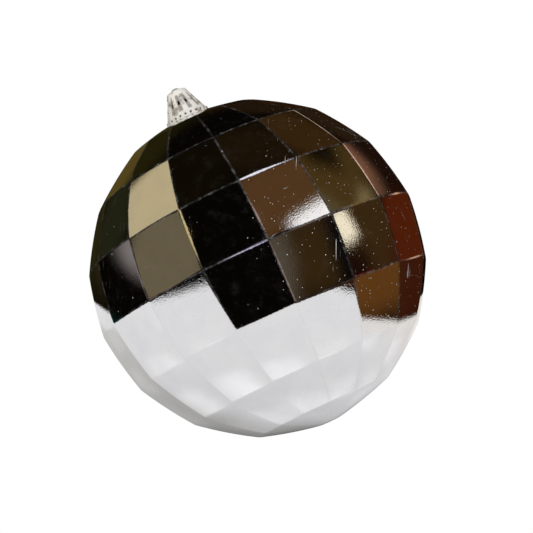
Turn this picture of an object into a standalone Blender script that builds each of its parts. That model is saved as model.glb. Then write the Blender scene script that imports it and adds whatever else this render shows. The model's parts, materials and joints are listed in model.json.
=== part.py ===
"""A hollow faceted hanging ornament: a moulded ball with a neck, a crown cap pressed over the neck, and a
wire hanger whose two legs pass through the cap into the ball.

Metres, +Z up. The ball's own axis is Z. The origin is the hanging point, where a hook meets the inside of
the hanger's bow. Heights below are measured from POLE, the top of the sphere that the ball's corners touch.
"""

import math

import bmesh
import bpy

MM = 0.001

# The ball: its corners lie on a sphere, on evenly spaced meridians and rings.
BALL_RADIUS = 50.0 * MM
MERIDIANS = 16
BAND_STEP = math.radians(21.7)
RINGS_EACH_SIDE = 4
WALL = 1.0 * MM

# The ball's neck.
NECK_RADIUS = 3.9 * MM
NECK_BORE_RADIUS = 3.1 * MM
NECK_HEIGHT = 3.4 * MM
NECK_SIDES = 48

# The crown cap: a base flange, a ribbed cone and a flat top.
CAP_SIDES = 96
CAP_RIBS = 12
CAP_FLANGE_RADIUS = 6.7 * MM
CAP_BASE_HEIGHT = -0.35 * MM
CAP_EDGE = 0.3 * MM
CAP_SKIRT_RADIUS = 6.3 * MM
CAP_SKIRT_HEIGHT = 0.9 * MM
CAP_SLOPE = math.tan(math.radians(23.0))
CAP_SHOULDER_HEIGHT = 8.5 * MM
CAP_TOP_HEIGHT = 8.8 * MM
CAP_TOP_THICKNESS = 0.8 * MM
CAP_WALL = 0.93 * MM
CAP_BORE_RADIUS = 4.25 * MM
CAP_RELIEF_RADIUS = 5.4 * MM
PANEL_FOOT_HEIGHT = 1.5 * MM
PANEL_HEAD_HEIGHT = 7.1 * MM
PANEL_DEPTH = 0.38 * MM
PANEL_STEEPNESS = 1.6
WINDOW_WIDTH = 0.7 * MM
WINDOW_LENGTH = 1.3 * MM
WINDOW_HEIGHT = 4.4 * MM
WINDOW_CUT_DEPTH = 4.0 * CAP_WALL
DIMPLES = 24
DIMPLE_RADIUS = 0.34 * MM
DIMPLE_HEIGHT = 0.5 * MM

# The wire hanger.
WIRE_RADIUS = 0.4 * MM
WIRE_BEVEL_RESOLUTION = 3
BOW_STEPS = 12
LEG_OFFSET = 1.3 * MM
LEG_HOLE_RADIUS = 0.7 * MM
LEG_HOLE_SIDES = 20
BOW_CENTRE_HEIGHT = 8.2 * MM
LEG_BEND_HEIGHT = -0.8 * MM
LEG_BEND_LENGTH = 1.0 * MM
LEG_BEND_OFFSET = 0.04 * MM
LEG_FOOT_HEIGHT = -12.0 * MM
LEG_FOOT_OFFSET = 2.3 * MM

# From the ball's centre up to the inside of the bow, which is the origin.
HANG_HEIGHT = BALL_RADIUS + BOW_CENTRE_HEIGHT + LEG_OFFSET - WIRE_RADIUS

SILVER = (0.86, 0.86, 0.87, 1.0)
CAP_SILVER = (0.74, 0.73, 0.71, 1.0)
STEEL = (0.62, 0.62, 0.63, 1.0)


def clear_scene():
    for obj in list(bpy.data.objects):
        bpy.data.objects.remove(obj, do_unlink=True)


def metal(name, colour, roughness):
    material = bpy.data.materials.new(name)
    material.use_nodes = True
    shader = material.node_tree.nodes["Principled BSDF"]
    shader.inputs["Base Color"].default_value = colour
    shader.inputs["Metallic"].default_value = 1.0
    shader.inputs["Roughness"].default_value = roughness
    return material


def place(obj, material=None):
    """Every piece is drawn about the ball's centre, and then stands that far below the origin."""
    obj.location = (0.0, 0.0, -HANG_HEIGHT)
    bpy.context.collection.objects.link(obj)
    if material:
        obj.data.materials.append(material)
    return obj


def mesh_object(name, bm, material=None):
    bmesh.ops.recalc_face_normals(bm, faces=bm.faces)
    mesh = bpy.data.meshes.new(name)
    bm.to_mesh(mesh)
    bm.free()
    return place(bpy.data.objects.new(name, mesh), material)


def boolean(obj, operation, tool):
    tool.hide_render = True
    tool.display_type = "WIRE"
    modifier = obj.modifiers.new(tool.name, "BOOLEAN")
    modifier.operation = operation
    modifier.solver = "EXACT"
    modifier.object = tool


def around(radius, angle, height):
    """A point at an angle about Z, counted from -Y towards +X."""
    return (radius * math.sin(angle), -radius * math.cos(angle), height)


def circle(radius, height, sides):
    return [around(radius, 2.0 * math.pi * n / sides, height) for n in range(sides)]


def skin(bm, loops):
    """Joins loops of equal length with quads, and closes the first and the last with one face each."""
    rows = [[bm.verts.new(point) for point in loop] for loop in loops]
    for near, far in zip(rows, rows[1:]):
        for n in range(len(near)):
            after = (n + 1) % len(near)
            bm.faces.new((near[n], near[after], far[after], far[n]))
    bm.faces.new(rows[0])
    bm.faces.new(rows[-1])


def turned(name, sections, sides, material=None):
    """A solid of circles, each given as its radius and height."""
    bm = bmesh.new()
    skin(bm, [circle(radius, height, sides) for radius, height in sections])
    return mesh_object(name, bm, material)


def faceted_ball(name, radius, material=None):
    """Flat four-sided facets between rings of corners, with a small flat at each pole."""
    latitudes = [BAND_STEP * n for n in range(-RINGS_EACH_SIDE, RINGS_EACH_SIDE + 1)]
    sections = [(radius * math.cos(a), radius * math.sin(a)) for a in latitudes]
    return turned(name, sections, MERIDIANS, material)


def make_shell(material):
    """The ball and its neck as one thin wall, open only through the neck."""
    shell = faceted_ball("shell", BALL_RADIUS, material)
    root = BALL_RADIUS - 2.0 * WALL
    rim = BALL_RADIUS + NECK_HEIGHT
    neck = [(NECK_RADIUS, root), (NECK_RADIUS, rim)]
    bore = [(NECK_BORE_RADIUS, root - WALL), (NECK_BORE_RADIUS, rim + WALL)]
    boolean(shell, "UNION", turned("neck_tool", neck, NECK_SIDES))
    boolean(shell, "DIFFERENCE", faceted_ball("hollow_tool", BALL_RADIUS - WALL))
    boolean(shell, "DIFFERENCE", turned("bore_tool", bore, NECK_SIDES))
    return shell


def cone_radius(height):
    """The cap's outer radius over its ribs."""
    return CAP_SKIRT_RADIUS - CAP_SLOPE * (height - CAP_SKIRT_HEIGHT)


def panel_share(angle):
    """0 over a rib and 1 in the recessed panel between two ribs, with sloping sides between."""
    return min(1.0, max(0.0, 0.5 - PANEL_STEEPNESS * math.cos(CAP_RIBS * angle)))


def cap_outside():
    """Loops from the base up to the top, each pushed in between the ribs by its share of the panel depth."""
    sections = [
        (CAP_FLANGE_RADIUS - CAP_EDGE, CAP_BASE_HEIGHT, 0.0),
        (CAP_FLANGE_RADIUS, CAP_BASE_HEIGHT + CAP_EDGE, 0.0),
        (CAP_FLANGE_RADIUS, DIMPLE_HEIGHT, 0.0),
        (CAP_SKIRT_RADIUS, CAP_SKIRT_HEIGHT, 0.0),
        (cone_radius(PANEL_FOOT_HEIGHT), PANEL_FOOT_HEIGHT, 1.0),
        (cone_radius(WINDOW_HEIGHT), WINDOW_HEIGHT, 1.0),
        (cone_radius(PANEL_HEAD_HEIGHT), PANEL_HEAD_HEIGHT, 1.0),
        (cone_radius(CAP_SHOULDER_HEIGHT), CAP_SHOULDER_HEIGHT, 0.0),
        (cone_radius(CAP_SHOULDER_HEIGHT) - CAP_EDGE, CAP_TOP_HEIGHT, 0.0),
    ]
    loops = []
    for radius, height, share in sections:
        loop = []
        for n in range(CAP_SIDES):
            angle = 2.0 * math.pi * n / CAP_SIDES
            recess = PANEL_DEPTH * share * panel_share(angle)
            loop.append(around(radius - recess, angle, BALL_RADIUS + height))
        loops.append(loop)
    return loops


def cap_inside():
    """A socket for the neck, and above it a cone that follows the outside."""
    ceiling = CAP_TOP_HEIGHT - CAP_TOP_THICKNESS
    ledge = CAP_SKIRT_HEIGHT + CAP_EDGE
    socket_top = CAP_SKIRT_HEIGHT + (CAP_SKIRT_RADIUS - CAP_WALL - CAP_BORE_RADIUS) / CAP_SLOPE
    return [
        (CAP_RELIEF_RADIUS, BALL_RADIUS + CAP_BASE_HEIGHT - CAP_WALL),
        (CAP_RELIEF_RADIUS, BALL_RADIUS + ledge),
        (CAP_BORE_RADIUS, BALL_RADIUS + ledge),
        (CAP_BORE_RADIUS, BALL_RADIUS + socket_top),
        (cone_radius(ceiling) - CAP_WALL, BALL_RADIUS + ceiling),
    ]


def window_tool():
    """One upright block through the middle of each recessed panel."""
    bm = bmesh.new()
    reach = cone_radius(WINDOW_HEIGHT)
    for n in range(CAP_RIBS):
        angle = 2.0 * math.pi * n / CAP_RIBS + math.pi / CAP_RIBS
        block = bmesh.ops.create_cube(bm, size=1.0)["verts"]
        bmesh.ops.scale(bm, verts=block, vec=(WINDOW_WIDTH, WINDOW_CUT_DEPTH, WINDOW_LENGTH))
        for corner in block:
            x, y, z = corner.co
            out = reach - y - CAP_SLOPE * z
            corner.co.x = out * math.sin(angle) + x * math.cos(angle)
            corner.co.y = -out * math.cos(angle) + x * math.sin(angle)
            corner.co.z = BALL_RADIUS + WINDOW_HEIGHT + z
    return mesh_object("window_tool", bm)


def dimple_tool():
    """A ring of small round dimples in the upper corner of the flange."""
    bm = bmesh.new()
    for n in range(DIMPLES):
        angle = 2.0 * math.pi * (n + 0.5) / DIMPLES
        ball = bmesh.ops.create_icosphere(bm, subdivisions=1, radius=DIMPLE_RADIUS)["verts"]
        centre = around(CAP_FLANGE_RADIUS, angle, BALL_RADIUS + DIMPLE_HEIGHT)
        bmesh.ops.translate(bm, verts=ball, vec=centre)
    return mesh_object("dimple_tool", bm)


def leg_hole_tool():
    """Two round holes through the cap's flat top."""
    bm = bmesh.new()
    low = BALL_RADIUS + CAP_TOP_HEIGHT - 2.0 * CAP_TOP_THICKNESS
    high = BALL_RADIUS + CAP_TOP_HEIGHT + CAP_TOP_THICKNESS
    for side in (-LEG_OFFSET, LEG_OFFSET):
        ends = [circle(LEG_HOLE_RADIUS, height, LEG_HOLE_SIDES) for height in (low, high)]
        skin(bm, [[(x + side, y, z) for x, y, z in loop] for loop in ends])
    return mesh_object("leg_hole_tool", bm)


def make_cap(material):
    bm = bmesh.new()
    skin(bm, cap_outside())
    cap = mesh_object("crown_cap", bm, material)
    boolean(cap, "DIFFERENCE", turned("socket_tool", cap_inside(), NECK_SIDES))
    boolean(cap, "DIFFERENCE", window_tool())
    boolean(cap, "DIFFERENCE", dimple_tool())
    boolean(cap, "DIFFERENCE", leg_hole_tool())
    return cap


def hanger_route():
    """One foot, up its leg, over the bow and down to the other foot."""
    foot = [
        (LEG_FOOT_OFFSET, LEG_FOOT_HEIGHT),
        (LEG_OFFSET + LEG_BEND_OFFSET, LEG_BEND_HEIGHT - LEG_BEND_LENGTH),
        (LEG_OFFSET, LEG_BEND_HEIGHT),
    ]
    bow = []
    for n in range(BOW_STEPS + 1):
        angle = math.pi * n / BOW_STEPS
        across = LEG_OFFSET * math.cos(angle)
        bow.append((across, BOW_CENTRE_HEIGHT + LEG_OFFSET * math.sin(angle)))
    right_half = foot + bow
    return right_half + [(-across, height) for across, height in reversed(foot)]


def make_hanger(material):
    curve = bpy.data.curves.new("wire_hanger", "CURVE")
    curve.dimensions = "3D"
    curve.bevel_depth = WIRE_RADIUS
    curve.bevel_resolution = WIRE_BEVEL_RESOLUTION
    curve.use_fill_caps = True
    route = hanger_route()
    wire = curve.splines.new("POLY")
    wire.points.add(len(route) - 1)
    for point, (across, height) in zip(wire.points, route):
        point.co = (across, 0.0, BALL_RADIUS + height, 1.0)
    return place(bpy.data.objects.new("wire_hanger", curve), material)


def carry(parent, child):
    """Parents a piece that shares its parent's origin."""
    child.parent = parent
    child.location = (0.0, 0.0, 0.0)


def shade(obj, crease_degrees):
    obj.data.shade_smooth()
    obj.data.set_sharp_from_angle(angle=math.radians(crease_degrees))


def main():
    clear_scene()
    shell = make_shell(metal("metallised_silver", SILVER, 0.08))
    cap = make_cap(metal("cap_silver", CAP_SILVER, 0.3))
    hanger = make_hanger(metal("spring_steel", STEEL, 0.25))
    shade(shell, 15.0)
    shade(cap, 30.0)
    carry(shell, cap)
    carry(cap, hanger)


main()
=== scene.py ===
"""The looks of a faceted hanging ornament: a metallised ball of crowned facets, its crown cap and its wire
hanger, in a dark warm room above a white board.

Metres, in the frame of the CAD model: the ball's own axis is Z. The board and the room follow the way the
ball lies on one of its facets, which the record's mount gives.
"""

import json
import math

import bmesh
import bpy
import numpy as np
from mathutils import Matrix, Vector

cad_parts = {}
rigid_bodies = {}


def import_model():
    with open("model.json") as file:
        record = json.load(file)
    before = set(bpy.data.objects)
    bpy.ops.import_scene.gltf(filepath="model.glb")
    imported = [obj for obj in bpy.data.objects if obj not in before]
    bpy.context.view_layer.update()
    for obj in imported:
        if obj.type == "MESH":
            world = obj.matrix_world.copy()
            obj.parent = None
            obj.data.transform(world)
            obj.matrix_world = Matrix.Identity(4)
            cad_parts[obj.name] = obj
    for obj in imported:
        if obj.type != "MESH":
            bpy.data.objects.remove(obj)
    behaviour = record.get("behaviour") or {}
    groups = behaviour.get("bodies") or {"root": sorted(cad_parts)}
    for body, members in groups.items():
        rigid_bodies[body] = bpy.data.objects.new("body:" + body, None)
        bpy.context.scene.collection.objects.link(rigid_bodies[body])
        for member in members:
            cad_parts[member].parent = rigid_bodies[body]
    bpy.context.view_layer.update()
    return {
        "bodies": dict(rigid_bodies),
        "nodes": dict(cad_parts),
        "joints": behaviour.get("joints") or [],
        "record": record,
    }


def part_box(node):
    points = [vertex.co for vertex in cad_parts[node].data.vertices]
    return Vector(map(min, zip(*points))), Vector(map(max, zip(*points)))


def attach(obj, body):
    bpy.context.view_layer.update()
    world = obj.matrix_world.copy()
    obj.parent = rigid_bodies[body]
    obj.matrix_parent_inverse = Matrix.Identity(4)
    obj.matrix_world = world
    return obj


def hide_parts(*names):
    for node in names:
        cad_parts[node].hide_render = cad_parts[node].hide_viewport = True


MM = 0.001

# The ball. Each facet is crowned a little and rolls over into its neighbours in a narrow ridge.
MERIDIANS = 16
BAND_STEP = math.radians(21.7)
RINGS_EACH_SIDE = 4
WALL = 1.0 * MM
CROWN_RADIUS = 118.0 * MM
RIDGE_HALF_WIDTH = 0.5 * MM
RIDGE_MOST_SHARE = 0.3
RIDGE_STEPS = 4
FACET_STEPS = 10
NECK_RADIUS = 3.9 * MM
NECK_BORE_RADIUS = 3.1 * MM
NECK_ROUND = 0.2 * MM
JOIN_LEAST_SHARE = 0.01

# The side of the ball that has been rubbed most.
RUBBED_SIDE = (0.85, -0.35, -0.38)

# The crown cap, with heights from the pole of the ball.
CAP_FOOT_BEND = 0.08 * MM
CAP_COLUMNS = 360
CAP_RIBS = 12
CAP_DIMPLES = 24
CAP_FLANGE_RADIUS = 6.7 * MM
CAP_FOOT = -0.74 * MM
CAP_INNER_FOOT = -0.5 * MM
CAP_SKIRT_RADIUS = 6.3 * MM
CAP_SKIRT_HEIGHT = 0.9 * MM
CAP_SLOPE = math.tan(math.radians(23.0))
CAP_CONE_FOOT = 1.35 * MM
CAP_FLARE = ((0.06, 0.72), (0.19, 0.8), (0.32, 0.87), (0.43, 0.99), (0.52, 1.16))
CAP_SIDE_LOW = -0.28 * MM
CAP_SIDE_HIGH = 0.62 * MM
CAP_SHOULDER = 8.2 * MM
CAP_TOP = 8.8 * MM
CAP_TOP_BEND = 0.55 * MM
CAP_SHOULDER_STEP = 0.02 * MM
CAP_RIM_WIDTH = 0.05 * MM
CAP_TOP_LIP = 0.12 * MM
CAP_TOP_SUNK = 0.1 * MM
CAP_MIDDLE_RADIUS = 0.1 * MM
CAP_TOP_THICKNESS = 0.8 * MM
CAP_WALL = 0.93 * MM
CAP_BORE_RADIUS = 4.25 * MM
CAP_RELIEF_RADIUS = 5.4 * MM
CAP_LEDGE_RISE = 0.3 * MM
PANEL_FOOT = 1.3 * MM
PANEL_HEAD = 7.3 * MM
PANEL_DEPTH = 0.38 * MM
PANEL_EDGE = (-0.1, 0.55)
PANEL_FOOT_BLEND = 0.5 * MM
PANEL_HEAD_BLEND = 0.6 * MM
# Painted shade in the recessed panels, at their full depth.
PANEL_SHADE = 0.55
WINDOW_COLUMNS = 4
WINDOW_STEPS = 5
WINDOW_FOOT = 3.75 * MM
WINDOW_HEAD = 5.05 * MM
DIMPLE_RADIUS = 0.36 * MM
DIMPLE_HEIGHT = 0.14 * MM
DIMPLE_SHARE = 0.8
# Painted shade in the dimples, for each millimetre of their depth.
DIMPLE_SHADE = 4.0
HEIGHT_DIGITS = 7
HEIGHT_SLACK = 1e-7

# The wire hanger, with heights from the pole of the ball.
WIRE_RADIUS = 0.4 * MM
LEG_OFFSET = 1.3 * MM
LEG_HOLE_RADIUS = 0.7 * MM
BOW_CENTRE = 8.2 * MM
LEG_BEND = -0.8 * MM
LEG_FOOT = -12.0 * MM
LEG_FOOT_OFFSET = 2.3 * MM
FOOT_EASE_ACROSS = 0.02 * MM
FOOT_EASE_UP = 0.25 * MM
BEND_EASE_ACROSS = 0.06 * MM
BEND_EASE_DOWN = 0.9 * MM

# The camera, as it stands round the ball.
CAMERA_AZIMUTH = math.radians(-6.5)
CAMERA_ELEVATION = math.radians(-6.9)
CAMERA_DISTANCE_IN_RADII = 10.7
CAMERA_LEAN = math.radians(25.1)
CAMERA_LENS = 122.0
AIM_RIGHT = 2.4 * MM
AIM_UP = 0.5 * MM

# The board that the ball lies on: a round end about the ball, which widens towards the camera.
BOARD_END_RADIUS = 118.0 * MM
BOARD_LEFT_EDGE = math.radians(149.0)
BOARD_RIGHT_EDGE = math.radians(30.0)
BOARD_FAR = 620.0 * MM
BOARD_SPOKES = 240
BOARD_FINE_REACH = 180.0 * MM
BOARD_FINE_STEPS = 90
BOARD_COARSE_STEPS = 12
BOARD_LEAST_WIDTH = 1.0 * MM
BOARD_GAP = 0.1 * MM

# The light painted on the board, which glows with it: open light less a painted contact shade where the
# ball hides it, and painted lamps that add painted shadows of the ball and painted bright patches. Each
# lamp has a direction in degrees, as Layout.direction takes it, a level and a tint.
OPEN_LIGHT = 0.44
OPEN_TINT = (1.0, 0.99, 0.97)
CONTACT_SHADE_SHARE = 0.78
PAINTED_LAMPS = (
    (-174.0, 38.0, 0.26, (1.0, 0.99, 0.96)),
    (128.0, 54.0, 0.26, (0.96, 0.97, 1.08)),
)
THROWN_CROWN_SHARE = 0.35
THROWN_LEAST_FALL = 0.05
SHADOW_SOFTNESS = 9.0 * MM
PATCH_RAYS = 40
PATCH_BIN = 1.6 * MM
PATCH_REACH = 240.0 * MM
PATCH_SOFTNESS = 2.2 * MM

# The lamp and the room's light for what scatters light: dust, frost and scuffs.
SOFT_LAMP_DIRECTION = (-174.0, 38.0)
SOFT_LAMP_STRENGTH = 2.0
SOFT_LAMP_WIDTH = math.radians(12.0)
ROOM_SCATTERED = (0.38, 0.38, 0.39, 1.0)
WHITE = (1.0, 1.0, 1.0, 1.0)


def linear(red, green, blue):
    """A colour given in sRGB from 0 to 255, as the linear colour that shaders take."""
    shares = [c / 255.0 for c in (red, green, blue)]
    return tuple(c / 12.92 if c <= 0.04045 else ((c + 0.055) / 1.055) ** 2.4 for c in shares) + (1.0,)


# ---------------------------------------------------------------------------------------------- node trees


def node(tree, kind, inputs=None, **settings):
    """Adds a node. An input is given by its name or number, as a value or as a socket to link."""
    made = tree.nodes.new(kind)
    for name, value in settings.items():
        setattr(made, name, value)
    for key, value in (inputs or {}).items():
        if isinstance(value, bpy.types.NodeSocket):
            tree.links.new(value, made.inputs[key])
        else:
            made.inputs[key].default_value = value
    return made


def calc(tree, operation, first, second=0.0, clamp=False):
    inputs = {0: first, 1: second}
    return node(tree, "ShaderNodeMath", inputs, operation=operation, use_clamp=clamp).outputs[0]


def dot(tree, vector, fixed):
    made = node(tree, "ShaderNodeVectorMath", {0: vector, 1: tuple(fixed)}, operation="DOT_PRODUCT")
    return made.outputs["Value"]


def ramp(tree, value, low, high, out_low=0.0, out_high=1.0, kind="SMOOTHSTEP"):
    inputs = {"Value": value, "From Min": low, "From Max": high, "To Min": out_low, "To Max": out_high}
    return node(tree, "ShaderNodeMapRange", inputs, interpolation_type=kind).outputs["Result"]


def mix(tree, factor, first, second):
    """From the first colour to the second. A Mix node's colours are its inputs 6 and 7 and its output 2."""
    return node(tree, "ShaderNodeMix", {0: factor, 6: first, 7: second}, data_type="RGBA").outputs[2]


def noise(tree, place, scale, detail=2.0, roughness=0.5):
    inputs = {"Vector": place, "Scale": scale, "Detail": detail, "Roughness": roughness}
    return node(tree, "ShaderNodeTexNoise", inputs).outputs["Fac"]


def object_place(tree):
    return node(tree, "ShaderNodeTexCoord").outputs["Object"]


def bump(tree, height, distance, normal=None):
    inputs = {"Height": height, "Distance": distance, "Strength": 1.0}
    if normal is not None:
        inputs["Normal"] = normal
    return node(tree, "ShaderNodeBump", inputs).outputs["Normal"]


def new_material(name):
    """A material with its Principled shader at its default values."""
    material = bpy.data.materials.new(name)
    material.use_nodes = True
    return material, material.node_tree, material.node_tree.nodes["Principled BSDF"]


def wire(tree, socket, target):
    tree.links.new(socket, target)


# ----------------------------------------------------------------------------------------------- new objects


def linked(name, data):
    """A new object of the scene, of a mesh, a curve, a light or a camera."""
    obj = bpy.data.objects.new(name, data)
    bpy.context.scene.collection.objects.link(obj)
    return obj


def object_of(bm, name):
    """A new object of the scene, of what was built in the bmesh."""
    mesh = bpy.data.meshes.new(name)
    bm.to_mesh(mesh)
    bm.free()
    return linked(name, mesh)


# ------------------------------------------------------------------------------------------ where things lie


class Layout:
    """Driving places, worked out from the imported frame."""

    def __init__(self, frame):
        low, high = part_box("shell")
        self.radius = (high.x - low.x) / 2.0
        self.pole_ring = RINGS_EACH_SIDE * BAND_STEP
        self.centre = Vector((0.0, 0.0, low.z + self.radius * math.sin(self.pole_ring)))
        self.neck_top = high.z
        mounts = {mount["name"]: mount for mount in frame["record"]["mounts"]}
        self.board_up = -Vector(mounts["rest_facet"]["axis"]).normalized()
        self.board_height = (Vector(mounts["rest_facet"]["pos_m"]) - self.centre).dot(self.board_up)
        self.back = Vector(
            (
                math.sin(CAMERA_AZIMUTH) * math.cos(CAMERA_ELEVATION),
                -math.cos(CAMERA_AZIMUTH) * math.cos(CAMERA_ELEVATION),
                math.sin(CAMERA_ELEVATION),
            )
        )
        level = Vector((-self.back.y, self.back.x, 0.0)).normalized()
        pole = self.back.cross(level)
        self.image_right = math.cos(CAMERA_LEAN) * level - math.sin(CAMERA_LEAN) * pole
        self.image_up = math.sin(CAMERA_LEAN) * level + math.cos(CAMERA_LEAN) * pole
        away = -self.back
        self.away = (away - away.dot(self.board_up) * self.board_up).normalized()
        self.right = self.away.cross(self.board_up)

    def direction(self, azimuth, elevation):
        """Degrees round the board's upright, from straight away from the camera towards its right."""
        a, e = math.radians(azimuth), math.radians(elevation)
        flat = math.cos(a) * self.away + math.sin(a) * self.right
        return math.cos(e) * flat + math.sin(e) * self.board_up


# ------------------------------------------------------------------------------------------------- the ball


def around(radius, angle, height):
    """A point at an angle about Z, counted from -Y towards +X."""
    return Vector((radius * math.sin(angle), -radius * math.cos(angle), height))


def ridge_reach(length):
    """How far a ridge reaches in from an edge of a facet of that length."""
    return min(RIDGE_HALF_WIDTH, RIDGE_MOST_SHARE * length)


def ridge_spread(length):
    """Shares from 0 to 1 across a facet of that length, close together in the ridge at both ends."""
    ridge = ridge_reach(length) / length
    near = [ridge * n / RIDGE_STEPS for n in range(RIDGE_STEPS + 2)]
    start = near[-1]
    middle = [start + (1.0 - 2.0 * start) * n / FACET_STEPS for n in range(1, FACET_STEPS)]
    return near + middle + [1.0 - share for share in reversed(near)]


class Facets:
    """The ball's outer surface, as points for a share of a sector and a share of a band."""

    def __init__(self, radius):
        self.radius = radius
        self.sector = 2.0 * math.pi / MERIDIANS
        self.height = 2.0 * radius * math.sin(BAND_STEP / 2.0)

    def width(self, latitude):
        return 2.0 * self.radius * math.cos(latitude) * math.sin(self.sector / 2.0)

    def width_at(self, band, up):
        low, high = self.width(band * BAND_STEP), self.width((band + 1) * BAND_STEP)
        return low + (high - low) * up

    def flat_point(self, sector, band, across, up):
        """On the plain four-cornered facet."""
        rows = []
        for ring in (band, band + 1):
            latitude = ring * BAND_STEP
            reach, height = self.radius * math.cos(latitude), self.radius * math.sin(latitude)
            left = around(reach, sector * self.sector, height)
            right = around(reach, (sector + 1) * self.sector, height)
            rows.append(left.lerp(right, across))
        return rows[0].lerp(rows[1], up)

    def meridian_slope(self, band):
        """The tangent of half the angle between two facets of a band, less what the crown takes of it."""
        middle = (band + 0.5) * BAND_STEP
        turn = math.sin(middle) ** 2 + math.cos(middle) ** 2 * math.cos(self.sector)
        return math.tan(math.acos(turn) / 2.0) - self.width(middle) / (2.0 * CROWN_RADIUS)

    def ring_slope(self):
        return math.tan(BAND_STEP / 2.0) - self.height / (2.0 * CROWN_RADIUS)

    def lift(self, band, across, up):
        """How far the crown stands over the flat facet, less what the ridges take off its edges."""
        width = self.width_at(band, up)
        crown = width**2 * across * (1.0 - across) + self.height**2 * up * (1.0 - up)
        lift = crown / (2.0 * CROWN_RADIUS)
        edges = (
            (across * width, width, self.meridian_slope(band)),
            ((1.0 - across) * width, width, self.meridian_slope(band)),
            (up * self.height, self.height, self.ring_slope()),
            ((1.0 - up) * self.height, self.height, self.ring_slope()),
        )
        for distance, length, slope in edges:
            ridge = ridge_reach(length)
            if distance < ridge:
                lift -= slope * (ridge - distance) ** 2 / (2.0 * ridge)
        return lift

    def point(self, sector, band, across, up):
        flat = self.flat_point(sector, band, across, up)
        return flat + flat.normalized() * self.lift(band, across, up)

    def ridge_share(self, band, across, up):
        """1 on a ridge, falling to 0 at the ridge's foot."""
        width = self.width_at(band, up)
        nearest = min(across * width, (1.0 - across) * width, up * self.height, (1.0 - up) * self.height)
        return max(0.0, 1.0 - nearest / RIDGE_HALF_WIDTH)


def mesh_from_rows(name, rows, values, attribute):
    """A closed mesh of rings joined by quads and capped at both ends, with one value for each point."""
    bm = bmesh.new()
    layer = bm.verts.layers.float.new(attribute)
    rings = []
    for row, marks in zip(rows, values):
        ring = []
        for point, mark in zip(row, marks):
            vertex = bm.verts.new(point)
            vertex[layer] = mark
            ring.append(vertex)
        rings.append(ring)
    for near, far in zip(rings, rings[1:]):
        for n in range(len(near)):
            after = (n + 1) % len(near)
            bm.faces.new((near[n], near[after], far[after], far[n]))
    bm.faces.new(rings[0])
    bm.faces.new(rings[-1])
    bmesh.ops.recalc_face_normals(bm, faces=bm.faces)
    obj = object_of(bm, name)
    obj.data.shade_smooth()
    return obj


def facet_row(facets, band, up):
    """One ring of points at a share of a band, with how much of a ridge each one is on."""
    points, marks = [], []
    for sector in range(MERIDIANS):
        for across in ridge_spread(facets.width_at(band, up))[:-1]:
            points.append(facets.point(sector, band, across, up))
            marks.append(facets.ridge_share(band, across, up))
    return points, marks


def neck_join(facets):
    """How far up the last band the facets meet the neck."""
    band = RINGS_EACH_SIDE - 1
    low, high = 0.0, 1.0
    for _ in range(40):
        middle = (low + high) / 2.0
        point = facets.flat_point(0, band, 0.5, middle)
        if math.hypot(point.x, point.y) > NECK_RADIUS + NECK_ROUND:
            low = middle
        else:
            high = middle
    return low


def make_ball(layout, facets):
    """The whole wall in one skin: up the outside, over the neck's rim, down its bore and back inside."""
    inner = Facets(layout.radius - WALL)
    rows, values = [], []
    join = neck_join(facets)
    for band in range(-RINGS_EACH_SIDE, RINGS_EACH_SIDE):
        last = band == RINGS_EACH_SIDE - 1
        shares = ridge_spread(facets.height)
        if last:
            shares = [share for share in shares if share < join - JOIN_LEAST_SHARE] + [join]
        for up in shares if last else shares[:-1]:
            row, marks = facet_row(facets, band, up)
            rows.append(row)
            values.append(marks)
    angles = [math.atan2(point.x, -point.y) for point in rows[-1]]
    foot = sum(point.z for point in rows[-1]) / len(angles)
    rim = layout.neck_top - layout.centre.z
    halfway = 0.3 * NECK_ROUND
    profile = [
        (NECK_RADIUS + halfway, foot + halfway),
        (NECK_RADIUS, foot + NECK_ROUND),
        (NECK_RADIUS, (foot + rim) / 2.0),
        (NECK_RADIUS, rim - NECK_ROUND),
        (NECK_RADIUS - halfway, rim - halfway),
        (NECK_RADIUS - NECK_ROUND, rim),
        (NECK_BORE_RADIUS + NECK_ROUND, rim),
        (NECK_BORE_RADIUS + halfway, rim - halfway),
        (NECK_BORE_RADIUS, rim - NECK_ROUND),
        (NECK_BORE_RADIUS, foot - WALL / 2.0),
    ]
    for radius, height in profile:
        rows.append([around(radius, angle, height) for angle in angles])
        values.append([0.0] * len(angles))
    for ring in range(RINGS_EACH_SIDE - 1, -RINGS_EACH_SIDE - 1, -1):
        band, up = (ring, 0.0) if ring < RINGS_EACH_SIDE else (ring - 1, 1.0)
        row = []
        for sector in range(MERIDIANS):
            for across in ridge_spread(facets.width_at(band, up))[:-1]:
                row.append(inner.flat_point(sector, band, across, up))
        rows.append(row)
        values.append([0.0] * len(row))
    rows = [[point + layout.centre for point in row] for row in rows]
    ball = mesh_from_rows("ball_skin", rows, values, "ridge")
    ball.data.materials.append(ball_material())
    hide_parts("shell")
    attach(ball, "ball")
    return ball


def specks(tree, place, scale, radius, share):
    """1 inside small round specks of dust, in a share of the cells, and 0 elsewhere. The share may vary."""
    cells = node(tree, "ShaderNodeTexVoronoi", {"Vector": place, "Scale": scale}, feature="F1")
    parts = node(tree, "ShaderNodeSeparateColor", {0: cells.outputs["Color"]}).outputs
    size = ramp(tree, parts[1], 0.0, 1.0, 0.35, 1.0, "LINEAR")
    edge = calc(tree, "MULTIPLY", size, radius * scale)
    inside = calc(tree, "SUBTRACT", 1.0, calc(tree, "DIVIDE", cells.outputs["Distance"], edge), clamp=True)
    soft = ramp(tree, inside, 0.0, 0.5)
    chosen = calc(tree, "LESS_THAN", parts[0], share)
    return calc(tree, "MULTIPLY", soft, chosen)


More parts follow.
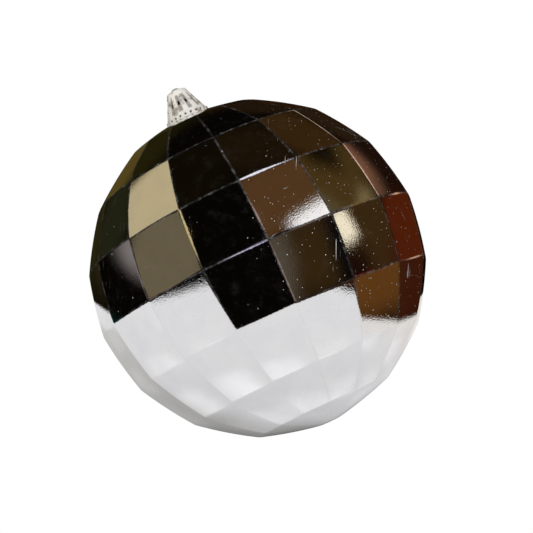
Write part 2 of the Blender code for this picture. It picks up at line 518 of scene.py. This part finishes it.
def scratches(tree, place, turn, share):
    """Fine lines where thin sheets of a stretched noise cross the surface, in a share of it."""
    turned = node(tree, "ShaderNodeMapping", {"Vector": place, "Rotation": turn}).outputs[0]
    thin = node(tree, "ShaderNodeMapping", {"Vector": turned, "Scale": (70.0, 110.0, 4000.0)}).outputs[0]
    line = ramp(tree, noise(tree, thin, 1.0, 0.0), 0.775, 0.82)
    where = ramp(tree, noise(tree, turned, 90.0, 1.0), 1.0 - share, 1.06 - share)
    return calc(tree, "MULTIPLY", line, where)


def dust_on(tree, place, ridge, side):
    """Coarse specks, small beads along the ridges, and fine specks that are many on the rubbed side."""
    coarse = calc(tree, "MULTIPLY", specks(tree, place, 260.0, 0.24 * MM, 0.4), 0.5)
    beading = ramp(tree, ridge, 0.1, 0.9, 0.0, 0.4)
    beads = calc(tree, "MULTIPLY", specks(tree, place, 700.0, 0.34 * MM, 0.4), beading)
    many = ramp(tree, side, 32.0 * MM, 42.0 * MM, 0.06, 0.95)
    fine = specks(tree, place, 800.0, 0.17 * MM, many)
    return calc(tree, "MAXIMUM", calc(tree, "MAXIMUM", coarse, beads), fine)


def hairlines(tree, place):
    """Two sets of fine scratches that cross."""
    first = scratches(tree, place, (0.3, 1.1, 0.5), 0.36)
    second = scratches(tree, place, (1.2, 0.2, 2.1), 0.42)
    return calc(tree, "MAXIMUM", first, second)


def film_on(tree, place, ridge):
    """How far the silver is dulled, on its rubbed ridges, by smudges and in faint round marks."""
    patchy = ramp(tree, noise(tree, place, 420.0, 4.0, 0.7), 0.44, 0.68, 0.1, 1.0)
    rubbed = calc(tree, "MULTIPLY", calc(tree, "MULTIPLY", ridge, patchy), 0.13)
    smudge = calc(tree, "MULTIPLY", ramp(tree, noise(tree, place, 330.0, 5.0, 0.68), 0.48, 0.78), 0.007)
    faint = calc(tree, "MULTIPLY", specks(tree, place, 330.0, 0.42 * MM, 0.5), 0.035)
    return calc(tree, "MAXIMUM", calc(tree, "ADD", rubbed, smudge), faint)


def ball_material():
    """Mirror silver over moulded plastic: fine orange peel, slow waves, worn ridges, dust and hairlines."""
    material, tree, shader = new_material("metallised_silver")
    place = object_place(tree)
    ridge = node(tree, "ShaderNodeAttribute", attribute_name="ridge").outputs["Fac"]
    side = dot(tree, place, Vector(RUBBED_SIDE))
    dust = dust_on(tree, place, ridge, side)
    lines = hairlines(tree, place)
    tone = ramp(tree, noise(tree, place, 150.0, 2.0), 0.3, 0.7)
    silver = mix(tree, tone, (0.90, 0.90, 0.90, 1.0), (0.86, 0.86, 0.87, 1.0))
    worn = mix(tree, calc(tree, "MULTIPLY", ridge, 0.35), silver, (0.80, 0.79, 0.78, 1.0))
    scored = mix(tree, lines, worn, (0.85, 0.85, 0.85, 1.0))
    wire(tree, mix(tree, dust, scored, (0.74, 0.73, 0.70, 1.0)), shader.inputs["Base Color"])
    scored_share = ramp(tree, side, 34.0 * MM, 44.0 * MM, 0.07, 0.65)
    bare = calc(tree, "MAXIMUM", dust, calc(tree, "MULTIPLY", lines, scored_share))
    dulled = calc(tree, "MAXIMUM", bare, film_on(tree, place, ridge))
    wire(tree, calc(tree, "SUBTRACT", 1.0, dulled), shader.inputs["Metallic"])
    haze = ramp(tree, noise(tree, place, 55.0, 3.0, 0.6), 0.52, 0.75)
    polish = ramp(tree, haze, 0.0, 1.0, 0.035, 0.11, "LINEAR")
    scuffed = calc(tree, "ADD", polish, calc(tree, "MULTIPLY", ridge, 0.05))
    rough = calc(tree, "MAXIMUM", scuffed, calc(tree, "MULTIPLY", bare, 0.6))
    wire(tree, rough, shader.inputs["Roughness"])
    waves = bump(tree, noise(tree, place, 110.0, 1.0), 0.012 * MM)
    peel = bump(tree, noise(tree, place, 2500.0, 1.0), 0.0125 * MM, waves)
    wire(tree, bump(tree, dust, 0.03 * MM, peel), shader.inputs["Normal"])
    return material


# -------------------------------------------------------------------------------------------------- the cap


def cone_radius(height):
    """The cap's radius over its ribs."""
    return CAP_SKIRT_RADIUS - CAP_SLOPE * (height - CAP_SKIRT_HEIGHT)


def smooth(value, low, high):
    share = min(1.0, max(0.0, (value - low) / (high - low)))
    return share * share * (3.0 - 2.0 * share)


def quarter_round(radius, height, bend, inward):
    """Radii and heights round an edge: up its side and in over its top, or the other way about."""
    turns = [math.pi / 2.0 * n / 4 for n in range(5)]
    if inward:
        return [(radius - bend + bend * math.cos(t), height - bend + bend * math.sin(t)) for t in turns]
    return [(radius - bend + bend * math.sin(t), height + bend - bend * math.cos(t)) for t in turns]


def steps(low, high, count):
    return [low + (high - low) * n / count for n in range(count + 1)]


def panel_recess(angle, height):
    """How deep the cap lies below its ribs."""
    across = smooth(-math.cos(CAP_RIBS * angle), *PANEL_EDGE)
    over_foot = smooth(height, PANEL_FOOT, PANEL_FOOT + PANEL_FOOT_BLEND)
    under_head = smooth(-height, -PANEL_HEAD, PANEL_HEAD_BLEND - PANEL_HEAD)
    return PANEL_DEPTH * across * (over_foot * under_head)


def dimple_depth(angle, height):
    """How deep the row of round dimples round the flange is at a place."""
    spacing = 2.0 * math.pi / CAP_DIMPLES
    off = (angle / spacing) % 1.0 - 0.5
    away = math.hypot(off * spacing * CAP_FLANGE_RADIUS, height - DIMPLE_HEIGHT)
    return DIMPLE_SHARE * math.sqrt(max(0.0, DIMPLE_RADIUS**2 - away**2))


def cap_outside():
    """Radius and height of each ring from the flange's foot up to the middle of the top."""
    flange = quarter_round(CAP_FLANGE_RADIUS, CAP_FOOT, CAP_FOOT_BEND, False)
    flange += [(CAP_FLANGE_RADIUS, height) for height in steps(CAP_SIDE_LOW, CAP_SIDE_HIGH, 12)]
    flange += [(CAP_FLANGE_RADIUS - drop * MM, height * MM) for drop, height in CAP_FLARE]
    below = steps(CAP_CONE_FOOT, WINDOW_FOOT, 12)
    beside = steps(WINDOW_FOOT, WINDOW_HEAD, WINDOW_STEPS)[1:]
    above = steps(WINDOW_HEAD, CAP_SHOULDER, 14)[1:]
    cone = [(cone_radius(height), height) for height in below + beside + above]
    shoulder = cone_radius(CAP_SHOULDER)
    top = quarter_round(shoulder - CAP_SHOULDER_STEP, CAP_TOP, CAP_TOP_BEND, True)
    rim = shoulder - CAP_TOP_BEND - CAP_RIM_WIDTH
    sunk = CAP_TOP - CAP_TOP_SUNK
    top += [(rim, CAP_TOP), (rim - CAP_TOP_LIP, sunk), (CAP_MIDDLE_RADIUS, sunk)]
    return flange + cone + top


def cap_inside():
    """The same for the inside, from its foot up to the middle of the ceiling."""
    ledge = CAP_SKIRT_HEIGHT + CAP_LEDGE_RISE
    bore_top = CAP_SKIRT_HEIGHT + (CAP_SKIRT_RADIUS - CAP_WALL - CAP_BORE_RADIUS) / CAP_SLOPE
    ceiling = CAP_TOP - CAP_TOP_THICKNESS
    socket = [(CAP_RELIEF_RADIUS, CAP_INNER_FOOT), (CAP_RELIEF_RADIUS, ledge), (CAP_BORE_RADIUS, ledge)]
    heights = [bore_top] + steps(WINDOW_FOOT, WINDOW_HEAD, WINDOW_STEPS) + [ceiling]
    cone = [(cone_radius(height) - CAP_WALL, height) for height in heights]
    return socket + cone + [(CAP_MIDDLE_RADIUS, ceiling)]


def in_window(column, height):
    """Whether the cell above and after this place is in a window. The windows lie midway between ribs."""
    pitch = CAP_COLUMNS // CAP_RIBS
    off = column % pitch - pitch // 2
    beside = WINDOW_FOOT - HEIGHT_SLACK < height < WINDOW_HEAD - HEIGHT_SLACK
    return -WINDOW_COLUMNS <= off < WINDOW_COLUMNS and beside


def cap_ring(bm, layer, pole, radius, height, outside):
    """One ring of the cap's vertices, with each one's painted shade: deeper in panels and dimples, full
    inside.
    """
    made = []
    for column in range(CAP_COLUMNS):
        angle = 2.0 * math.pi * column / CAP_COLUMNS
        panel = panel_recess(angle, height) if outside else 0.0
        dimple = dimple_depth(angle, height) if outside else 0.0
        vertex = bm.verts.new(around(radius - panel - dimple, angle, height) + Vector((0.0, 0.0, pole)))
        painted_shade = PANEL_SHADE * panel / PANEL_DEPTH + DIMPLE_SHADE * dimple / MM
        vertex[layer] = min(1.0, painted_shade) if outside else 1.0
        made.append(vertex)
    return made


def cap_surface(bm, layer, pole, profile, outside):
    """One of the cap's two skins, left open at the windows. Returns its rings by height, and its foot."""
    rings = [cap_ring(bm, layer, pole, radius, height, outside) for radius, height in profile]
    for n, (near, far) in enumerate(zip(rings, rings[1:])):
        rising = profile[n][1] < profile[n + 1][1]
        for column in range(CAP_COLUMNS):
            after = (column + 1) % CAP_COLUMNS
            if not (rising and in_window(column, profile[n][1])):
                bm.faces.new((near[column], near[after], far[after], far[column]))
    bm.faces.new(rings[-1])
    by_height = {round(height, HEIGHT_DIGITS): ring for (_, height), ring in zip(profile, rings)}
    by_height["foot"] = rings[0]
    return by_height


def cap_edges():
    """The edges along which the two skins meet: round the foot and round each window."""
    edges = [(("foot", column), ("foot", column + 1)) for column in range(CAP_COLUMNS)]
    heights = [round(height, HEIGHT_DIGITS) for height in steps(WINDOW_FOOT, WINDOW_HEAD, WINDOW_STEPS)]
    pitch = CAP_COLUMNS // CAP_RIBS
    for window in range(CAP_RIBS):
        left = window * pitch + pitch // 2 - WINDOW_COLUMNS
        right = left + 2 * WINDOW_COLUMNS
        for height in (heights[0], heights[-1]):
            edges += [((height, column), (height, column + 1)) for column in range(left, right)]
        for column in (left, right):
            edges += [((low, column), (high, column)) for low, high in zip(heights, heights[1:])]
    return edges


def make_cap(layout):
    """The cap's outside and inside as two skins, joined round the foot and round each window."""
    pole = layout.centre.z + layout.radius
    bm = bmesh.new()
    # Each vertex keeps how much painted shade it gets.
    layer = bm.verts.layers.float.new("recess_shade")
    outer = cap_surface(bm, layer, pole, cap_outside(), True)
    inner = cap_surface(bm, layer, pole, cap_inside(), False)
    for (row, column), (next_row, next_column) in cap_edges():
        here = column % CAP_COLUMNS
        there = next_column % CAP_COLUMNS
        bm.faces.new((outer[row][here], outer[next_row][there], inner[next_row][there], inner[row][here]))
    bmesh.ops.recalc_face_normals(bm, faces=bm.faces)
    cap = object_of(bm, "cap_skin")
    drill_leg_holes(cap, pole)
    cap.data.shade_smooth()
    cap.data.set_sharp_from_angle(angle=math.radians(38.0))
    cap.data.materials.append(cap_material())
    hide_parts("crown_cap")
    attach(cap, "cap")
    return cap


def drill_leg_holes(cap, pole):
    """Two round holes through the flat top, for the hanger's legs."""
    bm = bmesh.new()
    for side in (-LEG_OFFSET, LEG_OFFSET):
        place = Matrix.Translation((side, 0.0, pole + CAP_TOP - CAP_TOP_THICKNESS / 2.0))
        size = {"radius1": LEG_HOLE_RADIUS, "radius2": LEG_HOLE_RADIUS, "depth": 3.0 * CAP_TOP_THICKNESS}
        bmesh.ops.create_cone(bm, cap_ends=True, segments=40, matrix=place, **size)
    drill = object_of(bm, "drill")
    cut = cap.modifiers.new("leg_holes", "BOOLEAN")
    cut.operation = "DIFFERENCE"
    cut.solver = "EXACT"
    cut.object = drill
    bpy.context.view_layer.update()
    drilled = bpy.data.meshes.new_from_object(cap.evaluated_get(bpy.context.evaluated_depsgraph_get()))
    cap.modifiers.clear()
    cap.data = drilled
    cap.data.name = "cap_skin"
    bpy.data.objects.remove(drill, do_unlink=True)


def cap_material():
    """Frosted silver that glitters in grains, with painted shade: greyer and darker in the hollows and
    inside.
    """
    material, tree, shader = new_material("metallised_cap")
    place = object_place(tree)
    recess_shade = node(tree, "ShaderNodeAttribute", attribute_name="recess_shade").outputs["Fac"]
    grain = noise(tree, place, 1300.0, 2.0, 0.6)
    blotch = ramp(tree, noise(tree, place, 300.0, 3.0, 0.6), 0.46, 0.62)
    tone = mix(tree, blotch, (0.97, 0.94, 0.87, 1.0), (0.66, 0.60, 0.52, 1.0))
    # Painted shade: darker in the panels, the dimples and inside the cap.
    tone = mix(tree, calc(tree, "MULTIPLY", recess_shade, 0.8), tone, (0.26, 0.23, 0.18, 1.0))
    wire(tree, tone, shader.inputs["Base Color"])
    bare = calc(tree, "MAXIMUM", calc(tree, "MULTIPLY", blotch, 0.5), calc(tree, "MULTIPLY", recess_shade, 0.9))
    wire(tree, calc(tree, "MAXIMUM", bare, 0.1), shader.inputs["Metallic"])
    wire(tree, ramp(tree, grain, 0.35, 0.65, 0.2, 0.42), shader.inputs["Roughness"])
    dents = bump(tree, noise(tree, place, 420.0, 2.0), 0.22 * MM)
    wire(tree, bump(tree, grain, 0.02 * MM, dents), shader.inputs["Normal"])
    return material


# ----------------------------------------------------------------------------------------------- the hanger


def make_hanger(layout):
    """One bent wire: a foot, its leg, the bow and the other leg and foot."""
    pole = layout.centre.z + layout.radius
    leg = [(LEG_FOOT_OFFSET, LEG_FOOT), (LEG_FOOT_OFFSET - FOOT_EASE_ACROSS, LEG_FOOT + FOOT_EASE_UP)]
    leg += [(LEG_OFFSET + BEND_EASE_ACROSS, LEG_BEND - BEND_EASE_DOWN), (LEG_OFFSET, LEG_BEND)]
    leg += [(LEG_OFFSET, height) for height in steps(LEG_BEND, BOW_CENTRE, 6)[1:-1]]
    turns = [math.pi * n / 32 for n in range(33)]
    bow = [(LEG_OFFSET * math.cos(t), BOW_CENTRE + LEG_OFFSET * math.sin(t)) for t in turns]
    route = leg + bow + [(-across, height) for across, height in reversed(leg)]
    curve = bpy.data.curves.new("hanger_wire", "CURVE")
    curve.dimensions = "3D"
    curve.bevel_depth = WIRE_RADIUS
    curve.bevel_resolution = 6
    curve.use_fill_caps = True
    spline = curve.splines.new("POLY")
    spline.points.add(len(route) - 1)
    for point, (across, height) in zip(spline.points, route):
        point.co = (across, 0.0, pole + height, 1.0)
    drawn = linked("hanger_curve", curve)
    bpy.context.view_layer.update()
    mesh = bpy.data.meshes.new_from_object(drawn.evaluated_get(bpy.context.evaluated_depsgraph_get()))
    bpy.data.objects.remove(drawn, do_unlink=True)
    mesh.shade_smooth()
    mesh.set_sharp_from_angle(angle=math.radians(50.0))
    mesh.materials.clear()
    mesh.materials.append(wire_material())
    hanger = linked("hanger_wire", mesh)
    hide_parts("wire_hanger")
    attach(hanger, "hanger")
    return hanger


def wire_material():
    """Drawn spring wire: fine lines along it, and a little tarnish."""
    material, tree, shader = new_material("spring_wire")
    place = object_place(tree)
    drawn = node(tree, "ShaderNodeMapping", {"Vector": place, "Scale": (6000.0, 6000.0, 300.0)}).outputs[0]
    lines = noise(tree, drawn, 1.0, 2.0)
    tarnish = ramp(tree, noise(tree, place, 350.0, 3.0), 0.5, 0.7)
    tone = mix(tree, tarnish, (0.80, 0.79, 0.76, 1.0), (0.50, 0.46, 0.40, 1.0))
    wire(tree, tone, shader.inputs["Base Color"])
    shader.inputs["Metallic"].default_value = 0.6
    wire(tree, ramp(tree, lines, 0.3, 0.7, 0.2, 0.42), shader.inputs["Roughness"])
    wire(tree, bump(tree, lines, 0.01 * MM), shader.inputs["Normal"])
    return material


# ------------------------------------------------------------------------------------------------ the stage


def board_outline(angle):
    """How far the board reaches from the ball's foot, at an angle from straight away towards the right.

    It is round behind the ball. On each side a straight edge leaves the round end and opens towards the
    camera, until the board's far sides.
    """
    x, y = math.sin(angle), math.cos(angle)
    far = BOARD_FAR / max(abs(x), abs(y))
    edge = BOARD_RIGHT_EDGE if x > 0.0 else BOARD_LEFT_EDGE
    outward = x * math.cos(edge) + y * math.sin(edge)
    past_round_end = y * math.cos(edge) - x * math.sin(edge)
    if past_round_end * math.copysign(1.0, x) > 0.0:
        return BOARD_END_RADIUS
    return min(far, BOARD_END_RADIUS / outward) if outward > 0.0 else far


class PaintedBoardLight:
    """The painted light and shade on the board at a place: how brightly, and in what tint, it glows.

    Places are in the board's own axes: x to the right, y away from the camera, z up from the ball's foot.
    Painted soft light comes from all round, less a painted contact shade where the ball hides it. The
    painted lamps add painted shadows of the ball, and the painted bright patches that the facets throw down.
    """

    def __init__(self, layout, facets):
        self.height = -layout.board_height
        self.radius = layout.radius
        self.axes = np.array([layout.right, layout.away, layout.board_up])
        self.lamps = []
        self.thrown = 0.0
        # Each painted lamp, and the painted bright patches that the facets throw from it.
        for azimuth, elevation, level, tint in PAINTED_LAMPS:
            lamp = self.axes @ np.array(layout.direction(azimuth, elevation))
            glow = level * np.array(tint)
            self.lamps.append((lamp, glow))
            self.thrown = self.thrown + self.blurred(self.painted_patches(facets, lamp))[..., None] * glow

    def painted_patches(self, facets, lamp):
        """Painted patches of a lamp's light that the facets turn down onto the board, in square bins."""
        bins = int(2 * PATCH_REACH / PATCH_BIN)
        gathered = np.zeros((bins, bins))
        for band in range(-RINGS_EACH_SIDE, RINGS_EACH_SIDE):
            for sector in range(MERIDIANS):
                places, light = self.facet_rays(facets, sector, band, lamp)
                spot = np.floor((places + PATCH_REACH) / PATCH_BIN).astype(int)
                inside = ((spot >= 0) & (spot < bins)).all(axis=1)
                np.add.at(gathered, (spot[inside, 0], spot[inside, 1]), light[inside])
        return gathered

    def facet_rays(self, facets, sector, band, lamp):
        """Where one facet's rays land on the board, and the light that each of them adds to a bin."""
        shares = (np.arange(PATCH_RAYS) + 0.5) / PATCH_RAYS
        across, up = (grid.ravel()[:, None] for grid in np.meshgrid(shares, shares))
        corners = [facets.flat_point(sector, band, a, u) for a, u in ((0, 0), (1, 0), (0, 1), (1, 1))]
        low_left, low_right, high_left, high_right = (self.axes @ np.array(c) for c in corners)
        low = low_left * (1.0 - across) + low_right * across
        high = high_left * (1.0 - across) + high_right * across
        points = low * (1.0 - up) + high * up
        flat = np.cross(low_right - low_left, high_left - low_left)
        area = np.linalg.norm(np.cross(low_right - high_left, high_right - low_left)) / 2.0
        middle = points.mean(axis=0)
        normals = flat / np.linalg.norm(flat) + (points - middle) * (THROWN_CROWN_SHARE / CROWN_RADIUS)
        normals /= np.linalg.norm(normals, axis=1)[:, None]
        facing = normals @ lamp
        thrown = 2.0 * facing[:, None] * normals - lamp
        points[:, 2] += self.height
        used = (facing > 0.0) & (thrown[:, 2] < -THROWN_LEAST_FALL)
        travel = -points[used, 2] / thrown[used, 2]
        places = points[used, :2] + thrown[used, :2] * travel[:, None]
        return places, facing[used] * area / len(points) / PATCH_BIN**2

    def blurred(self, picture):
        """Softened, since a lamp has some size."""
        reach = int(3 * PATCH_SOFTNESS / PATCH_BIN)
        offsets = np.arange(-reach, reach + 1) * PATCH_BIN
        weights = np.exp(-0.5 * (offsets / PATCH_SOFTNESS) ** 2)
        weights /= weights.sum()
        for axis in (0, 1):
            picture = np.apply_along_axis(np.convolve, axis, picture, weights, mode="same")
        return picture

    def painted_patches_at(self, x, y):
        column, row = (int((value + PATCH_REACH) / PATCH_BIN) for value in (x, y))
        if not (0 <= column < len(self.thrown) and 0 <= row < len(self.thrown)):
            return np.zeros(3)
        return self.thrown[column, row]

    def at(self, x, y):
        # Painted light: open light less a painted contact shade, the painted patches, and each painted lamp
        # less its painted shadow of the ball.
        to_ball = np.array([-x, -y, self.height])
        distance = np.linalg.norm(to_ball)
        contact_shade = (self.radius / distance) ** 2 * self.height / distance
        open_share = 1.0 - CONTACT_SHADE_SHARE * min(1.0, contact_shade)
        light = OPEN_LIGHT * open_share * np.array(OPEN_TINT) + self.painted_patches_at(x, y)
        for lamp, glow in self.lamps:
            miss = np.linalg.norm(np.cross(to_ball, lamp))
            clear = smooth(miss, self.radius - SHADOW_SOFTNESS / 2.0, self.radius + SHADOW_SOFTNESS / 2.0)
            light += glow * lamp[2] * (clear if to_ball @ lamp > 0.0 else 1.0)
        return light


def make_board(layout, facets):
    """A white board under the ball, which only the reflections show: the background stays plain white.
    It glows with painted light: painted shade and shadows of the ball, and painted bright patches.
    """
    light = PaintedBoardLight(layout, facets)
    bm = bmesh.new()
    # Each place keeps its painted light and shade as a colour.
    layer = bm.verts.layers.float_color.new("light")

    def add(x, y):
        vertex = bm.verts.new((x, y, 0.0))
        vertex[layer] = (*light.at(x, y), 1.0)
        return vertex

    middle = add(0.0, 0.0)
    spokes = []
    for n in range(BOARD_SPOKES):
        angle = 2.0 * math.pi * n / BOARD_SPOKES
        edge = board_outline(angle)
        near = min(edge, BOARD_FINE_REACH)
        reaches = [near * k / BOARD_FINE_STEPS for k in range(1, BOARD_FINE_STEPS + 1)]
        beyond = max(edge - near, BOARD_LEAST_WIDTH)
        reaches += [near + beyond * k / BOARD_COARSE_STEPS for k in range(1, BOARD_COARSE_STEPS + 1)]
        spokes.append([add(reach * math.sin(angle), reach * math.cos(angle)) for reach in reaches])
    for n, spoke in enumerate(spokes):
        after = spokes[(n + 1) % BOARD_SPOKES]
        bm.faces.new((middle, after[0], spoke[0]))
        for k in range(len(spoke) - 1):
            bm.faces.new((spoke[k], after[k], after[k + 1], spoke[k + 1]))
    bmesh.ops.recalc_face_normals(bm, faces=bm.faces)
    board = object_of(bm, "board_painted_light")
    axes = Matrix((layout.right, layout.away, layout.board_up)).transposed().to_4x4()
    foot = layout.centre + layout.board_up * (layout.board_height - BOARD_GAP)
    board.matrix_world = Matrix.Translation(foot) @ axes
    board.visible_camera = False
    board.data.materials.append(painted_light_material())
    return board


def painted_light_material():
    """White that glows with the painted light and shade of each place, with painted warmer light at the far
    right.
    """
    material = bpy.data.materials.new("board_painted_light")
    material.use_nodes = True
    tree = material.node_tree
    tree.nodes.clear()
    # The painted light and shade of each place, as the board's glow.
    light = node(tree, "ShaderNodeAttribute", attribute_name="light").outputs["Color"]
    # Painted warmer light towards the far right.
    far_right = dot(tree, object_place(tree), Vector((0.7, 0.7, 0.0)))
    tone = mix(tree, ramp(tree, far_right, 0.02, 0.10), WHITE, (1.02, 0.975, 0.91, 1.0))
    lit = node(tree, "ShaderNodeVectorMath", {0: light, 1: tone}, operation="MULTIPLY").outputs[0]
    glow = node(tree, "ShaderNodeEmission", {"Color": lit, "Strength": 1.0})
    out = node(tree, "ShaderNodeOutputMaterial")
    wire(tree, glow.outputs[0], out.inputs["Surface"])
    return material


# Soft patches of the room, placed for the view from the camera: direction round the board and above
# it, half width and half height in degrees, softness as a share of those, and colour. Later ones lie over
# earlier ones.
ROOM_BASE = (7, 5, 3)
ROOM = (
    (70, -12, 60, 10, 0.5, (62, 36, 14)),
    (92, -10, 14, 8, 0.5, (96, 60, 24)),
    (48, -2, 12, 9, 0.4, (80, 30, 10)),
    (50, -18, 10, 6, 0.5, (60, 24, 10)),
    (86, 18, 18, 14, 0.5, (58, 40, 18)),
    (78, 6, 8, 5, 0.6, (60, 24, 10)),
    (103, 18, 3, 14, 0.5, (8, 6, 6)),
    (141, 23, 9, 11, 0.6, (54, 38, 17)),
    (127, 18, 4, 14, 0.5, (8, 7, 10)),
    (100, 11, 6, 6, 0.6, (28, 13, 6)),
    (101, 7.5, 6, 2.2, 0.5, (100, 22, 10)),
    (-4, 15, 9, 6, 0.5, (34, 22, 9)),
    (15, 9, 7, 6, 0.5, (40, 27, 15)),
    (-72, 57, 14, 9, 0.5, (16, 11, 4)),
    (151, 22, 4, 12, 0.8, (84, 76, 64)),
    (68, 46, 15, 12, 0.5, (72, 54, 24)),
    (55, 47, 7, 5, 0.6, (18, 12, 4)),
    (84, 48, 3, 7, 0.8, (86, 76, 50)),
    (73, 36, 5, 2, 0.8, (122, 106, 70)),
    (80, 31, 6, 2, 0.5, (116, 88, 30)),
    (39, 20, 8, 7, 0.7, (122, 84, 62)),
    (28, 10, 6, 8, 0.6, (30, 16, 10)),
    (41, 24, 6, 4, 0.7, (200, 155, 130)),
    (20, 43, 14, 9, 0.5, (54, 36, 14)),
    (-8, 70, 16, 10, 0.5, (28, 19, 7)),
    (138, 66, 16, 11, 0.4, (84, 57, 32)),
    (-28, 10, 12, 11, 0.6, (34, 30, 9)),
    (-20, -4, 12, 7, 0.5, (84, 70, 30)),
    (-49, 0, 10, 9, 0.6, (34, 34, 20)),
    (-36, -16, 9, 6, 0.6, (40, 34, 16)),
    (-18, -17, 8, 5, 0.5, (38, 35, 15)),
    (-96, 37, 26, 4, 0.3, (172, 152, 100)),
    (-72, 27, 12, 13, 0.12, (190, 174, 136)),
    (-124, 34, 7, 7, 0.2, (200, 178, 120)),
    (-98, -1, 25, 6, 0.4, (50, 36, 30)),
    (-90, 21, 3, 10, 0.5, (14, 9, 6)),
    (-109, 15, 13, 12, 0.12, (105, 95, 74)),
    (-68, -20.5, 7, 2, 0.7, (6, 34, 32)),
    (-80, -3.5, 9, 3.5, 0.8, (128, 121, 118)),
    (127.5, 53, 9.2, 5.9, 0.25, (255, 252, 250)),
    (97, 23, 3.1, 4.0, 0.35, (255, 242, 212)),
    (110, 86, 7, 7, 0.2, (244, 240, 252)),
    (133, 38, 8, 4, 0.8, (112, 96, 90)),
    (161, 17, 4, 10, 0.6, (132, 112, 102)),
    (175, 60, 6, 4, 0.4, (150, 126, 120)),
    (41, 5, 3, 1.5, 0.5, (228, 186, 148)),
    (50, -10, 4, 1.5, 0.5, (220, 172, 140)),
    (-176, 34, 8, 5, 0.7, (120, 116, 136)),
    (-168, 28, 7, 2.5, 0.5, (210, 205, 235)),
    (18, 28, 6, 2, 0.5, (220, 190, 160)),
    (50, 27, 7, 3, 0.5, (240, 200, 185)),
)


def patch(tree, ray, layout, azimuth, elevation, half_width, half_height, softness):
    """1 inside a soft-edged rectangle of the sky about a direction, and 0 outside."""
    middle = layout.direction(azimuth, elevation)
    level = layout.board_up.cross(middle).normalized()
    upright = middle.cross(level)
    share = calc(tree, "GREATER_THAN", dot(tree, ray, middle), 0.0)
    for axis, half in ((level, half_width), (upright, half_height)):
        reach = calc(tree, "ABSOLUTE", dot(tree, ray, axis / math.sin(math.radians(half))))
        share = calc(tree, "MULTIPLY", share, ramp(tree, reach, 1.0 - softness, 1.0 + softness, 1.0, 0.0))
    return share


def make_world(layout):
    """Plain white behind the object, and a dark room with soft patches of light in its reflections."""
    world = bpy.data.worlds.new("room")
    bpy.context.scene.world = world
    world.use_nodes = True
    tree = world.node_tree
    tree.nodes.clear()
    ray = node(tree, "ShaderNodeTexCoord").outputs["Generated"]
    colour = linear(*ROOM_BASE)
    for azimuth, elevation, half_width, half_height, softness, tint in ROOM:
        share = patch(tree, ray, layout, azimuth, elevation, half_width, half_height, softness)
        colour = mix(tree, share, colour, linear(*tint))
    path = node(tree, "ShaderNodeLightPath").outputs
    seen = mix(tree, path["Is Diffuse Ray"], colour, ROOM_SCATTERED)
    seen = mix(tree, path["Is Camera Ray"], seen, WHITE)
    light = node(tree, "ShaderNodeBackground", {"Color": seen, "Strength": 1.0})
    out = node(tree, "ShaderNodeOutputWorld")
    wire(tree, light.outputs[0], out.inputs["Surface"])


def make_lamp(layout):
    """The soft lamp over the camera, for what scatters its light: dust, frost and scuffs."""
    lamp = linked("soft_lamp", bpy.data.lights.new("soft_lamp", "SUN"))
    lamp.data.energy = SOFT_LAMP_STRENGTH
    lamp.data.angle = SOFT_LAMP_WIDTH
    lamp.rotation_mode = "QUATERNION"
    lamp.rotation_quaternion = layout.direction(*SOFT_LAMP_DIRECTION).to_track_quat("Z", "Y")
    lamp.visible_glossy = False


def make_camera(layout):
    camera = linked("camera", bpy.data.cameras.new("camera"))
    camera.data.lens = CAMERA_LENS
    camera.data.sensor_width = 36.0
    camera.data.clip_start = 0.01
    camera.data.clip_end = 10.0
    place = layout.centre + layout.back * (CAMERA_DISTANCE_IN_RADII * layout.radius)
    aim = layout.centre + layout.image_right * AIM_RIGHT + layout.image_up * AIM_UP
    behind = (place - aim).normalized()
    right = layout.image_up.cross(behind).normalized()
    axes = Matrix((right, behind.cross(right), behind)).transposed().to_4x4()
    camera.matrix_world = Matrix.Translation(place) @ axes
    bpy.context.scene.camera = camera


def main():
    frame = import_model()
    bpy.context.scene.view_settings.view_transform = "Standard"
    layout = Layout(frame)
    facets = Facets(layout.radius)
    make_ball(layout, facets)
    make_cap(layout)
    make_hanger(layout)
    make_board(layout, facets)
    make_lamp(layout)
    make_world(layout)
    make_camera(layout)


main()
